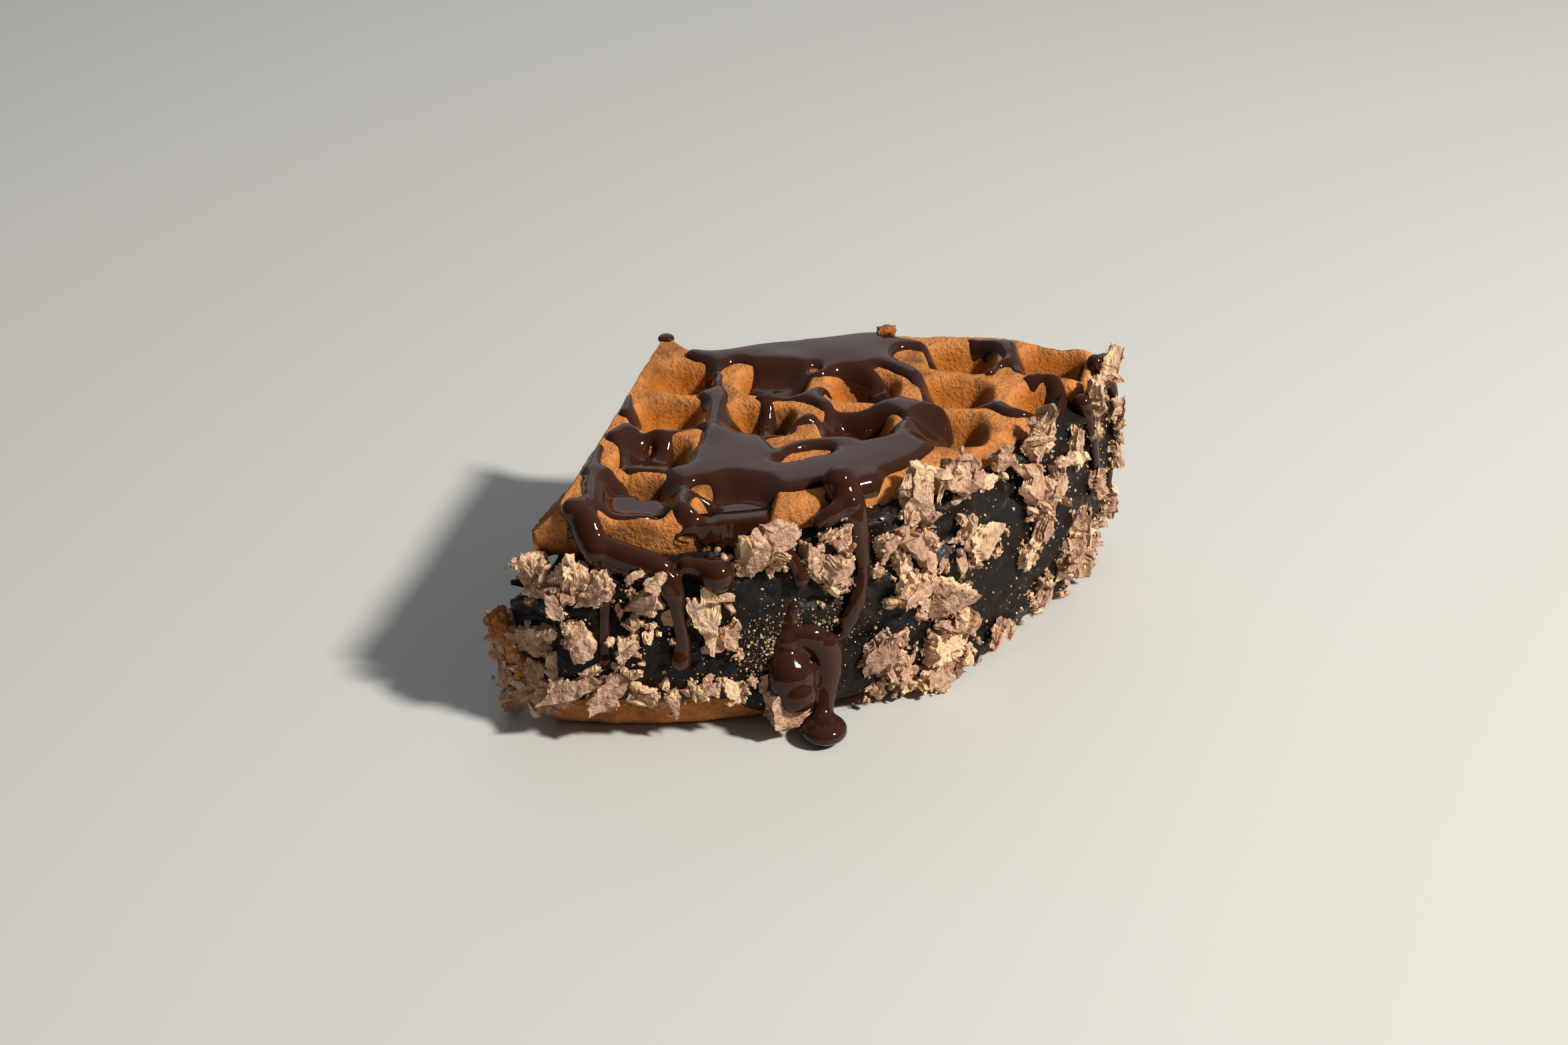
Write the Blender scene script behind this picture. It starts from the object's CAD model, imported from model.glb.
"""A wedge of a round waffle sandwich: two waffles, a chocolate filling, wafer flakes and chocolate sauce.

Lengths are in millimetres about the wedge's tip until a piece is made: +X runs along the back cut and
-Y towards the round side. A place on the round side is a bearing from the tip, in degrees, and a height.
"""

import math

import bmesh
import bpy
import numpy as np
from mathutils import Matrix, Vector


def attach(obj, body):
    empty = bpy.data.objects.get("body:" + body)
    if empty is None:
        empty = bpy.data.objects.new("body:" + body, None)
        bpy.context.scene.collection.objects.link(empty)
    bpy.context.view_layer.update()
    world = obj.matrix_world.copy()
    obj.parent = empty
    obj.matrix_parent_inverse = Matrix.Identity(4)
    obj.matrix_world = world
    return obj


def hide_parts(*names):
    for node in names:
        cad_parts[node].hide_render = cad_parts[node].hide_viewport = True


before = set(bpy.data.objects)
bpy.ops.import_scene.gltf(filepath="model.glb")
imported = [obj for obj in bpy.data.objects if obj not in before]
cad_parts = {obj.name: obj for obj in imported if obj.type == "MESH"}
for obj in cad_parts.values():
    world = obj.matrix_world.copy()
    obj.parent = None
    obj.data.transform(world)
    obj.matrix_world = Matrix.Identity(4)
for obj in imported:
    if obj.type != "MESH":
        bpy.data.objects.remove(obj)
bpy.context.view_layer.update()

bl_info = {
    "name": "Waffle Sandwich Wedge",
    "version": (1, 0, 0),
    "blender": (4, 5, 0),
    "location": "View3D > Sidebar > Waffle",
    "description": "Builds a wedge of a round waffle sandwich with chocolate filling, flakes and sauce",
    "category": "Object",
}

MM = 0.001
# The wedge's tip in the part's frame
TIP = np.array([-31.006, 44.938, 0.0])
HEIGHT = 43.0
TOP_THICK = 10.0
BOTTOM_THICK = 8.0
WAFFLE_RADIUS = 95.0
BOTTOM_CENTRE = np.array([-2.3, 12.1])
TOP_CENTRE = np.array([-1.5, 18.3])
LEFT_CUT = -102.0
BACK_CUT = -5.2
# Flat directions: out of the left cut, and into the wedge from the back cut and the filling's left cut
OUTWARD = np.array([math.sin(math.radians(LEFT_CUT)), -math.cos(math.radians(LEFT_CUT))])
BACK_INWARD = np.array([0.0, -1.0])
LEFT_INWARD = np.array([0.98, -0.21])
RIM_ROUND = 3.2
RIM_STEPS = 11
# The cuts are read as far out as this: on the face, and on the rolled rim
FACE_REACH = 80.0
RIM_REACH = 82.0
WAFFLE_MIDDLE = np.array([30.0, -38.0])
# Points across the bottom waffle's fan, rows from its tip to its rim, and rows down its edge
BOTTOM_COUNTS = (220, 90, 12)
TOP_WALL_ROWS = 20
# Millimetres along the round side for each degree of bearing
ARC = 1.45
# The back cuts, as points on the plan
BACK_EDGE = np.array([(20, -1.0), (45, 0.0), (58, -0.6), (72, -4.4), (84, -7.6)])
TOP_BACK_EDGE = np.array([(3.2, -4.8), (5.5, -7.4), (9.5, -8.6), (14.5, -8.2), (19, -6.0), (26, -4.2),
                          (33, -3.0), (40, -0.8), (45, 0.0), (58, -0.6), (64, -1.8), (72, -5.0), (84, -7.6)])
# Bearing of the bottom waffle's left edge at distances from the tip
CORNER_LINE = ([0, 50, 61.8, 72.4, 84], [-102, -102, -104, -108.5, -108.6])
CORNER_LIFT = 17.0
CORNER_REACH = 12.0
CORNER_BEND = 1.5
CORNER_FROM = -45.0
CORNER_FILL = [(-8.0, -43.0), (-14.2, -58.0), (-22.0, -68.0), (-26.0, -72.5), (-24.4, -77.4),
               (-17.5, -80.6), (-12.0, -79.0), (-6.0, -60.0)]
CORNER_FILL_TOP = 23.5
TONGUE = [(-12.0, -64.0, 24.0, 2.4), (-18.0, -67.0, 23.8, 1.8), (-22.0, -69.4, 24.2, 1.2),
          (-25.6, -71.0, 25.2, 0.5)]
FLARE = 4.4
FLARE_FROM = -42.0
FLARE_LENGTH = 30.0
FLARE_WIDTH = 3.5
FLARE_TOP = 42.4
FLARE_DROP = 3.4

POCKET_FIRST = np.array([4.2, -20.3])
POCKET_TURN = math.radians(-7.0)
POCKET_PITCH = np.array([18.5, 16.5])
POCKET_MOUTH = np.array([13.2, 13.0])
POCKET_DEPTH = 5.8
POCKET_LIP = 1.3
POCKET_SLOPE = 2.9
POCKET_CORNER = 4.2
# Noise is given as layers of (height, size of its lumps, seed)
POCKET_WAVER = (0.5, 4.0)
TOP_SWELL = [(0.42, 9.0, 21)]
TOP_LUMPS = [(0.2, 3.2, 22)]
TOP_GRAIN = [(0.08, 0.9, 23), (0.06, 0.45, 24)]
BOTTOM_SWELL = [(0.15, 6.0, 31)]
RIM_GRAIN = [(0.2, 2.2, 5)]
CUT_GRAIN = [(0.3, 1.5, 5), (0.18, 0.6, 6)]
CUT_PORES = [(1.0, 1.9, 8)]
PORE_DEPTH = 0.9
CUT_SINK = 0.2
POCKETS = [(5, 0), (4, 0), (1, 1), (2, 1), (3, 1), (4, 1), (5, 1),
           (1, 2), (2, 2), (3, 2), (4, 2), (1, 3), (1, 4), (2, 4)]

COAT_THICK = 3.0
COAT_BULGE = 1.6
COAT_LOW = 1.5
COAT_HIGH = 39.0
CORE_OUT = 1.6
CORE_SINK = 0.5
CORE_COUNTS = (300, 60, 40)
# The core reaches this far into each waffle
CORE_OVERLAP = 0.4
CORE_STRETCH = 2.2
CORE_SMEAR = [(0.7, 9.0, 51), (0.35, 3.4, 52), (0.14, 1.3, 53)]
CORE_CUT_LUMPS = [(0.4, 2.4, 54)]
CORE_CUT_GRAIN = [(0.12, 1.2, 55)]
CORE_CUT_SINK = 0.25
COAT_COUNTS = (330, 90)
COAT_FROM = (-101, 41.5)
COAT_TO = (-5.4, 0.6)
# Heights of the coat's upper and lower edge at bearings
COAT_TOP_EDGE = ([-101, -96, -90, -78, -70, -60, -30, -5.4], [34, 34, 34.6, 36, 38, 39.6, 40.4, 40])
COAT_LOW_EDGE = ([-101, -96, -80, -76, -66, -60, -5.4], [7, 6.6, 6.4, 3, 2, 1.5, 1.5])
COAT_RAGGED = [(2.4, 7.0, 61), (1.0, 2.6, 62)]
# Where the coat ends it dips this far under the waffle's edge
COAT_DIP = 2.2
# Streaks of the coat: their stretch, and their layer of noise
COAT_STREAKS = [((1, 2.4, 1), (0.8, 9.0, 63)), ((1, 1.6, 1), (0.4, 3.2, 64)), ((1, 1, 1), (0.12, 1.1, 65))]
STREAK_SINK = 0.4
COAT_RAGGED_SHARE = 0.6
COAT_FADE = (-0.6, 2.4)
CORNER_COUNTS = (110, 30, 22)
CORNER_LUMPS = [(0.9, 4.0, 56), (0.4, 1.5, 66)]
# The cut faces are dragged along the cut, so their relief is longer than high
KNIFE_DRAG = np.array([0.3, 0.3, 1.0])

# Runs of sauce on the top: points of (x, y, half width)
SAUCE_RUNS = [
    [(6.4, -9.8, 1.2), (11, -12, 2.8), (17, -12, 4), (23, -12, 6.2), (30, -11, 7), (37, -9.6, 7.8),
     (43, -8.4, 7.8), (47.4, -8, 4)],
    [(10.8, -13, 1.9), (11.3, -19, 1.3), (10.6, -25, 2.2), (10.8, -29, 2.8), (11.6, -34, 2.4),
     (13.4, -39, 3.4), (16.4, -43, 4), (21, -45, 2.6), (24, -45.5, 1.4)],
    [(14, -46, 4.2), (15.6, -53, 7.4), (12.6, -61, 9)],
    [(19.6, -19, 1.8), (24, -20, 3.4), (29, -19, 2.4), (33, -18, 2), (37, -16.4, 2.2), (42, -19, 2.2),
     (44.6, -25, 2.1), (45, -32, 2.2)],
    [(45, -13, 2.6), (48, -17, 2.1), (52, -22, 1.8), (54.2, -28, 1.6), (54.4, -33, 1.7)],
    [(47, -6.4, 2.2), (51, -5.2, 1.5), (54.6, -7, 1.3), (56.2, -12, 1), (57, -16, 0.8)],
    [(46.4, -28, 1), (47.2, -32, 2), (50, -36, 3.6), (53.6, -38, 3.8)],
    [(36.6, -35.4, 1.3), (41, -35.6, 1.5), (46, -35, 2.4)],
    [(20.6, -31, 1.4), (25, -30, 1.7), (29.6, -29.4, 2), (33.6, -26, 1)],
    [(31, -30.5, 1.9), (33.6, -34.5, 1.5), (35, -39, 1.8), (35.6, -45, 3), (37.4, -51, 3.2)],
    [(21.8, -33, 1.3), (21.8, -38, 1.3), (23, -44.5, 1.4)],
    [(25.4, -43, 1.1), (28, -40.4, 1.3), (31.6, -39.6, 1.3), (33.4, -43, 1.6), (34, -48, 2)],
    [(53, -41, 3.6), (50, -46.4, 5.2), (45, -53, 6.2), (38.6, -58, 5.8), (31, -61.4, 5), (24, -63.4, 4.8),
     (16, -63, 6.8), (9, -64.6, 5.4)],
    [(23.6, -55.4, 1.3), (27.4, -51.6, 1.5), (31.6, -50.2, 1.5), (35.6, -50.6, 1.8)],
    [(4.4, -66, 2.2), (6, -70, 2.2), (6.6, -74.2, 2), (9.8, -76.6, 2.2), (14.6, -75.4, 2.8),
     (18.6, -73.4, 2.8), (17, -69.6, 2.6)],
    [(-7, -28.4, 1.6), (-6.6, -32.6, 2), (-5.2, -36, 1.7), (-4.2, -38.6, 1)],
    [(11, -43.4, 1.2), (7, -42.6, 1.2), (3.4, -43.2, 1.6), (0, -42.4, 2), (-4, -42.8, 2.2),
     (-7.2, -46, 1.8)],
    [(-1.6, -48, 5.4), (-2, -54, 5.4), (-1, -59, 4.4)],
    [(-10.6, -51, 1.2), (-11.2, -55.4, 1.8), (-10.4, -60, 2.2), (-7, -63.8, 2.2), (-4, -66, 2)],
    [(-9, -62, 2.2), (-8.8, -67, 2.8), (-7, -71.4, 3.6), (-2, -72.4, 3.8), (2, -71, 2.8), (3.6, -67, 1.8)],
    [(-11.4, -74, 2), (-11, -78, 2.4)],
    [(64.8, -3.2, 1.5), (68, -3.8, 2.4), (71, -7.4, 2.4), (72.6, -12.4, 1.8), (73, -17.4, 1.4)],
    [(71.4, -13.4, 1.2), (68.4, -15.2, 1.2), (66.6, -18, 1.1)],
    [(75, -21.4, 1.7), (78, -20.6, 2), (80, -24, 1.7), (79.6, -29, 1.9), (79.4, -33, 1.9)],
    [(62.6, -33.8, 1.2), (66.6, -33.6, 1.5), (69.4, -36.4, 1.5), (73.4, -36, 1.2)],
    [(33.8, -69, 1.2), (36, -70.4, 1.4), (38.6, -68.4, 2.4), (40, -63, 3.2)],
]
SAUCE_SPREAD = 0.2
# Bare spots inside the sauce: (x, y, half width, half length)
BARE_SPOTS = [(15.8, -18, 3.4, 4), (17.6, -33.4, 2.9, 3.9), (26.4, -34.6, 3.2, 3.4), (-1.8, -43.6, 1.3, 1.4),
              (-0.8, -63.6, 3.3, 2.1), (10.2, -67, 2.5, 1.6), (28, -46.8, 3.6, 1.7), (29.4, -55, 3.6, 1.2),
              (38, -22, 4.2, 3.4), (42, -40, 3.2, 2.6), (50.6, -11.5, 3, 4.2), (-7, -54.6, 1.4, 5),
              (31.4, -17.4, 1.4, 1.6), (6.4, -49, 3.2, 4.2), (-0.6, -47.6, 1.3, 1.7)]
# Sauce standing in pockets: (x, y, half width, half length, level)
SAUCE_POOLS = [(26.6, -24.6, 4.6, 5, 39.8), (-1.4, -52, 4.6, 3.4, 39.4), (-1.4, -58, 4.4, 3.4, 40.4),
               (38.5, -45, 4.4, 4, 40.8), (-3, -70.8, 6.4, 4.4, 41.3), (10.8, -75.2, 4.4, 3, 41),
               (17.4, -72.6, 5.4, 4, 41.2)]
SAUCE_BEAD = 2.0
SAUCE_SAG = 0.82
SAUCE_SOFT = 1.6
SAUCE_WAVER = [(0.3, 4.5, 41), (0.12, 1.8, 42)]
SAUCE_BLEND = 1.3
BARE_BLEND = 0.8
FAR = 50.0
RUN_STEPS = 5
SAUCE_DOME = 0.35
SAUCE_DOME_REACH = 4.0
# Past its edge the sheet goes on downwards by this slope, as far as the margin
SAUCE_FALL = 1.7
SAUCE_MARGIN = 0.45
SAUCE_FLOOR = 1.0
# A pool's level falls between these shares of its half width, and blends into the sheet
POOL_EDGE = (0.9, 1.6)
POOL_FALL = 6.0
POOL_BLEND = 0.7
POOL_MARGIN = 0.6
SHEET_FROM = (-21.0, 6.0)
SHEET_SIZE = (112.0, 90.0)
# Gaps from the sheet to the round, left and back edges of the top
SHEET_CLEAR = (0.2, 0.3, 0.2)
# Nothing lies lower than this
GROUND_GAP = 0.05
# The drop on the tip: its place, half width and half height
TIP_DROP = (0.4, -1.7, 43.0, 1.9, 1.0)
# Drips on the round side: points of (bearing, height, half width, how far out)
DRIPS = [
    [(-99.6, 43, 2.4, -3), (-98, 41, 3, -2), (-96.6, 37.6, 2.8, -0.4), (-95, 33, 1.5, 0.4),
     (-95, 24, 1.1, 0.6), (-95, 17, 1.3, 0.4)],
    [(-96, 37, 3.2, -0.8), (-92, 35.4, 3.4, 0), (-88, 33.6, 3.2, 0.8), (-86.2, 29.6, 1.9, 1.9),
     (-85.8, 25, 1.3, 1.8), (-85.5, 21, 1.5, 1.6), (-85.8, 17.4, 1.9, 1.3)],
    [(-84.6, 35, 1.8, 1), (-82.6, 34.4, 2.3, 1.6), (-81, 33.4, 3.1, 2)],
    [(-62.8, 45, 3.2, -3), (-62.4, 41.4, 3, 0), (-62, 36.6, 2, 1.4), (-62.2, 30, 1.3, 1.8),
     (-63.2, 25, 1.7, 1.9), (-64.4, 21, 1.9, 1.3), (-64.9, 18.4, 1.2, 0.8)],
    [(-67, 40.2, 1.5, 0.6), (-65.4, 41, 2.1, 0.8), (-62.6, 42, 2.6, -0.4)],
    [(-72.4, 37, 1, 1.4), (-71, 34, 1.3, 1.6), (-70.4, 30.6, 1.5, 1.6)],
    [(-71.2, 24.4, 1.5, -0.3), (-72, 20.6, 2.1, -0.3), (-72.8, 16.6, 1.7, -0.5)],
    [(-72.6, 17.4, 2.2, 0.4), (-72.6, 14.6, 3.8, 1.6), (-72.4, 11.8, 4.6, 2.8), (-72, 9.2, 3.6, 3.4)],
    [(-72.4, 18.6, 2.2, 0.4), (-69.8, 18.8, 2.7, 1), (-67.8, 16.4, 3.2, 1.2), (-67.4, 12.4, 2.9, 1.6),
     (-68, 8, 2.2, 2.6), (-69, 3.6, 2, 4.6)],
    [(-17, 40, 2, -0.6), (-17, 36, 1.9, 0.5), (-16.4, 29, 1.4, 0.6), (-16, 22, 1.5, 0.4)],
    [(-8, 42.6, 1.8, -2), (-7.4, 38, 1.9, 0.8), (-7, 31, 1.5, 1.2), (-7.2, 25, 1.7, 1)],
    [(-8.6, 22, 1, 0.6), (-9, 18, 1.3, 0.6), (-9.2, 14.6, 1.5, 0.4)],
]
DRIP_SINK = 0.6
DRIP_PRESS = 0.72
DRIP_END = 1.08
DRIP_STEPS = 6
# The drop at the foot of the wall: bearing, distance out, half width, half height
DRIP_FOOT = (-69.3, 6.0, 4.5, 2.4)

# The largest flakes: (bearing, height, length, width, thickness, lean from upright)
BIG_FLAKES = [
    (-98.6, 11.6, 15, 6, 3.6, 62), (-94.2, 12.2, 12, 6.6, 3.2, 52), (-90.6, 10.4, 8, 5, 2.6, -60),
    (-90, 28.6, 14, 11, 5, 25), (-82.3, 25, 16, 8.5, 4.6, -4), (-86.8, 9, 8, 6.4, 3, 12),
    (-82.6, 11, 8, 5, 3, 75), (-79.2, 10, 7, 5, 3, 20), (-73.2, 4.8, 12, 11, 8, 8),
    (-79.4, 21.4, 8, 5, 2.4, 20), (-99, 32.2, 9, 7, 4, -35), (-92.4, 19.4, 9, 8, 3, 30),
    (-98.6, 21.5, 10, 7, 4, -20), (-101, 27.5, 9, 7, 4, 20), (-52.8, 40.4, 18, 9, 3.4, 8),
    (-53.6, 31.6, 13, 9, 4, -8), (-46.8, 42.6, 14, 10, 3.2, -22), (-43, 39.2, 13, 6, 3, -55),
    (-31.2, 41.2, 18, 9, 3.4, 10), (-33.4, 33, 13, 10, 3.6, -12), (-32.4, 24, 14, 7, 3.6, 4),
    (-28.6, 30, 12, 7, 3.4, 22), (-43.8, 27.4, 13, 8, 3, 66), (-46, 31, 9, 4, 2.4, 24),
    (-54.2, 24, 15, 8, 3.6, 70), (-56.4, 29, 9, 3.6, 2.6, 0), (-50.2, 18, 13, 10, 4.4, 40),
    (-50.6, 9, 14, 12, 4.4, 10), (-46.6, 12.4, 9, 8, 3.6, -30), (-59.8, 11, 15, 8, 4, 0),
    (-36, 19.6, 9, 6, 3, 30), (-22, 16, 14, 8, 4, -10), (-17.4, 22, 9, 7, 3.6, 20),
    (-16.6, 34.4, 9, 6, 3, 0), (-22.4, 34.5, 11, 5, 3, -10), (-14.2, 40.5, 14, 8, 3, -28),
    (-31, 8.6, 10, 5, 3, 0), (-40.6, 5.6, 9, 6, 3, 70), (-64.4, 37, 8, 6, 3.6, 30),
    (-59, 32.4, 10, 6, 3.4, 6), (-65.4, 30.4, 9, 7, 4, -20), (-77, 35.6, 11, 9, 4.6, 40),
    (-73, 38.4, 11, 6, 4, 72), (-69, 33, 8, 6, 3, 10), (-26, 10, 12, 7, 4, 20), (-20, 7, 11, 7, 4, -20),
    (-8.4, 40.6, 12, 7, 3.4, 40), (-7.6, 31, 9, 6, 3.4, -10), (-8, 23, 8, 6, 3, 24),
    (-9.4, 12, 9, 6, 3.4, 10), (-95.6, 31, 9, 7, 4, 40), (-51, 3.6, 12, 7, 4, 80), (-57, 6, 10, 6, 3.4, 60),
    (-38.6, 41.6, 8, 4.6, 2.6, 6),
]
# Flakes on the bent corner of the bottom waffle: (x, y, height, length, width, thickness, lean)
CORNER_FLAKES = [
    (-28.4, -73.2, 13.8, 15, 6, 3, 6), (-25.4, -76.2, 14.6, 14, 7.4, 3.6, -14),
    (-21.4, -79.2, 10, 12, 8, 4, 40), (-25.4, -75.8, 7.4, 12, 7, 3.4, 50),
    (-20.6, -78.4, 17, 11, 7, 3.4, 28), (-17.6, -82.0, 7.2, 11, 7, 3.4, 60),
    (-25.0, -75.4, 19.2, 8, 5, 3, -30), (-22.4, -77.6, 5.4, 13, 6, 3.4, 66),
    (-16.4, -81.4, 13, 9, 7, 3.4, 10), (-23.4, -77.8, 18.6, 8, 5, 3, 50), (-17.4, -80.4, 20, 8, 6, 3, -20),
    (-20.4, -76.8, 31.4, 10, 7, 4, 60), (-17.4, -79.6, 29.2, 9, 7, 4, -30),
    (-19.6, -76.4, 27.2, 8, 6, 4, 10),
]
# Stretches of the wall that stay almost bare, and those where flakes crowd: (bearings, heights)
BARE_WALL = [(-101, -95, 14, 26), (-91.5, -66, 12, 30), (-79, -66, 5, 31), (-59, -53.5, 33, 45),
             (-60, -55, 17, 23), (-50, -47.5, 23, 36), (-47, -36, 30, 38), (-45, -31, 5, 24),
             (-26, -10, 22, 40), (-62, -56, 14, 24), (-65, -60, 5, 18)]
CROWDED_WALL = [(-101, -95, 28, 34), (-92, -84, 21, 31), (-82, -70, 32, 37), (-68, -62, 22, 38),
                (-63, -56, 7, 16), (-58, -50, 22, 29), (-56, -51, 30, 43), (-53, -46, 3, 22),
                (-53, -46, 3, 22), (-48, -44, 37, 44), (-34, -28, 26, 44), (-36, -30, 3, 10),
                (-26, -10, 3, 16), (-101, -82, 9, 13.5), (-62, -44, 2, 7)]
BARE_SHARE = 0.97
CRUMB_LOW = 6.5
CRUMB_HIGH = 39.0
CROWDED_SHARE = 0.78

# Broken bits of waffle: place, size and turn
BROKEN_BITS = [((46.4, -1.6, 44.4), (6.0, 5.0, 3.4), 1.1), ((-27.6, -77.0, 20.4), (8.0, 5.0, 3.4), 0.5)]

# Plates are made of rings from the middle to the edge, points round each ring, and rings round the edge
LARGE_FORM = (8, 50, 7)
SMALL_FORM = (3, 18, 3)
BIT_FORM = (7, 34, 5)
FLAKE_ROUGH = [(0.24, 1.6, 71), (0.2, 0.62, 81)]
FULL_ROUGH_LENGTH = 8.0
# Shares of flakes with chocolate on the outer face, on both faces, and almost all over
ONE_FACE_SHARE = 0.62
BOTH_FACES_SHARE = 0.45
DARK_SHARE = 0.24
CHIPS_EACH = 4
# Scattered flakes and crumbs reach up to this height at the left cut, and this much higher per degree from it
LEFT_FLAKE_TOP = 33.0
FLAKE_TOP_RISE = 0.14
# Bearings that crumbs stay between, and where they crowd: bearing, height and spread
CRUMB_BEARINGS = (-101.5, -6)
CRUMB_CROWD = (-72, 17, 3.8)
# Smallest crumb and how much larger they get; those on the wall are smaller by these shares
CRUMB_SIZES = (0.1, 0.34)
CROWD_CRUMB = 0.6
LONE_CRUMB = 0.65
# Where the bent corner ends and the bare lower edge begins
CORNER_END = -79

# Colours, as linear values
RIB_COLOUR = (0.62, 0.232, 0.06, 1)
POCKET_COLOUR = (0.45, 0.135, 0.0115, 1)
CRUST_DARK = (0.2, 0.07, 0.016, 1)
CRUMB_COLOUR = (0.33, 0.12, 0.03, 1)
SAUCE_COLOUR = (0.033, 0.0098, 0.0042, 1)
FILLING_COLOUR = (0.0085, 0.0047, 0.0031, 1)
FLAKE_CHOCOLATE = (0.385, 0.203, 0.13, 1)
FLAKE_WAFER = (0.86, 0.59, 0.34, 1)
FLAKE_DUST = (0.8, 0.535, 0.36, 1)
FLAKE_SHADE = (0.1, 0.052, 0.034, 1)
FLOOR_COLOUR = (0.55, 0.54, 0.505, 1)

# The stage, in metres: the fill light is strongest from one direction
FLOOR_HALF = 3.0
FILL_FROM = (0.1, 0.72, 0.68)
WARM_LIGHT = (1.0, 0.97, 0.92)
COOL_LIGHT = (0.92, 0.95, 1.0)
LIGHT_TARGET = (0.0, 0.0, 0.02)
KEY_PLACE = (0.82, -0.38, 0.88)
KEY_SIZE = 0.14
BACK_PLACE = (-0.1, 1.15, 0.8)
BACK_SIZE = 1.2
# The camera looks at this point, in millimetres from the tip, from this far away, in metres
CAMERA_TARGET = np.array([25.06, -3.89, 0.0])
CAMERA_AWAY = np.array([0.0, -0.4136, 0.234])
CAMERA_LENS = 50.0
CAMERA_SENSOR = 36.0


def lattice(cells, seed):
    """Repeatable values from -1 to 1 at whole-number points."""
    mixed = cells[:, 0] * 73856093 ^ cells[:, 1] * 19349663 ^ cells[:, 2] * 83492791 ^ seed * 26544357
    mixed = (mixed ^ (mixed >> 13)) * 1274126177 & 0x7FFFFFFF
    mixed = (mixed ^ (mixed >> 15)) & 0xFFFFF
    return mixed / 0xFFFFF * 2 - 1


def grain(points, size, seed):
    """Smooth noise from -1 to 1, with lumps of about the given size."""
    scaled = points / size
    base = np.floor(scaled).astype(np.int64)
    part = scaled - base
    part = part * part * (3 - 2 * part)
    total = np.zeros(len(points))
    for corner in range(8):
        step = np.array([corner & 1, corner >> 1 & 1, corner >> 2 & 1])
        weight = np.prod(np.where(step, part, 1 - part), axis=1)
        total += weight * lattice(base + step, seed)
    return total


def layered(points, layers):
    """Noise of several sizes, added up."""
    return sum(height * grain(points, size, seed) for height, size, seed in layers)


def shifts(points, layers):
    """Layered noise in three directions."""
    return np.stack([layered(points, [(height, size, seed + k) for height, size, seed in layers])
                     for k in range(3)], axis=1)


def flat_grain(x, y, layers):
    """Layered noise at points on the plan."""
    points = np.stack([x.ravel(), y.ravel(), np.zeros(x.size)], axis=1)
    return layered(points, layers).reshape(x.shape)


def smooth_step(value, low, high):
    """A soft step from 0 at low to 1 at high."""
    share = np.clip((value - low) / (high - low), 0, 1)
    return share * share * (3 - 2 * share)


def smooth_min(first, second, blend):
    """The smaller of two values, with a rounded change from one to the other."""
    mix = np.clip(0.5 + 0.5 * (second - first) / blend, 0, 1)
    return second * (1 - mix) + first * mix - blend * mix * (1 - mix)


def reach(bearing, height, extra=0.0):
    """Distance from the tip to the round edge; the top waffle has slipped back a little."""
    turn = np.radians(bearing)
    share = np.asarray(height) / HEIGHT
    centre_x = BOTTOM_CENTRE[0] + (TOP_CENTRE[0] - BOTTOM_CENTRE[0]) * share
    centre_y = BOTTOM_CENTRE[1] + (TOP_CENTRE[1] - BOTTOM_CENTRE[1]) * share
    along = np.cos(turn) * centre_x + np.sin(turn) * centre_y
    return along + np.sqrt(along ** 2 - centre_x ** 2 - centre_y ** 2 + (WAFFLE_RADIUS + extra) ** 2)


def wall_bulge(height):
    """How far the coated filling stands out from the waffles' round edges."""
    share = np.clip((np.asarray(height) - COAT_LOW) / (COAT_HIGH - COAT_LOW), 0, 1)
    return COAT_BULGE * np.sin(np.pi * share)


def unrolled(b, z, stretch=1.0):
    """The round side laid flat, in millimetres along it and up it, as places for noise."""
    return np.stack([b.ravel() * ARC, z.ravel() * stretch, np.zeros(b.size)], axis=1)


def round_wall(b, z, flat):
    """Points at bearings, heights and distances from the tip."""
    return np.stack([flat * np.cos(np.radians(b)), flat * np.sin(np.radians(b)), z], axis=2)


def wall_point(bearing, height, out=0.0):
    """A place on the coated round side, or further out."""
    flat = float(reach(bearing, height, COAT_THICK) + wall_bulge(height)) + out
    turn = math.radians(bearing)
    return np.array([flat * math.cos(turn), flat * math.sin(turn), height])


def pocket_shape(x, y, soft=0.0):
    """Depth of the pockets at points on the top, from 0 on the ribs to 1 at a pocket's floor."""
    across = np.array([math.cos(POCKET_TURN), math.sin(POCKET_TURN)])
    down = np.array([math.sin(POCKET_TURN), -math.cos(POCKET_TURN)])
    depth = np.zeros(x.shape)
    for column, row in POCKETS:
        middle = POCKET_FIRST + across * (column - 1) * POCKET_PITCH[0] + down * (row - 1) * POCKET_PITCH[1]
        u = np.abs((x - middle[0]) * across[0] + (y - middle[1]) * across[1]) - POCKET_MOUTH[0] / 2
        v = np.abs((x - middle[0]) * down[0] + (y - middle[1]) * down[1]) - POCKET_MOUTH[1] / 2
        outside = np.hypot(np.maximum(u + POCKET_CORNER, 0), np.maximum(v + POCKET_CORNER, 0))
        edge = outside + np.minimum(np.maximum(u, v) + POCKET_CORNER, 0) - POCKET_CORNER
        edge = edge + flat_grain(x, y, [(*POCKET_WAVER, 11 + column + 9 * row)])
        depth = np.maximum(depth, smooth_step(-edge, -POCKET_LIP - soft, POCKET_SLOPE + soft))
    return depth


def rolled(inset):
    """Drop of a quarter round edge at distances into it."""
    inset = np.clip(inset, 0, RIM_ROUND)
    return RIM_ROUND - np.sqrt(np.maximum(RIM_ROUND ** 2 - inset ** 2, 0))


def rim_drop(x, y, level):
    """How far the rolled round rim falls below the top at points on the plan."""
    bearing = np.degrees(np.arctan2(y, x))
    return rolled(RIM_ROUND - (reach(bearing, level) - np.hypot(x, y)))


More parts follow.
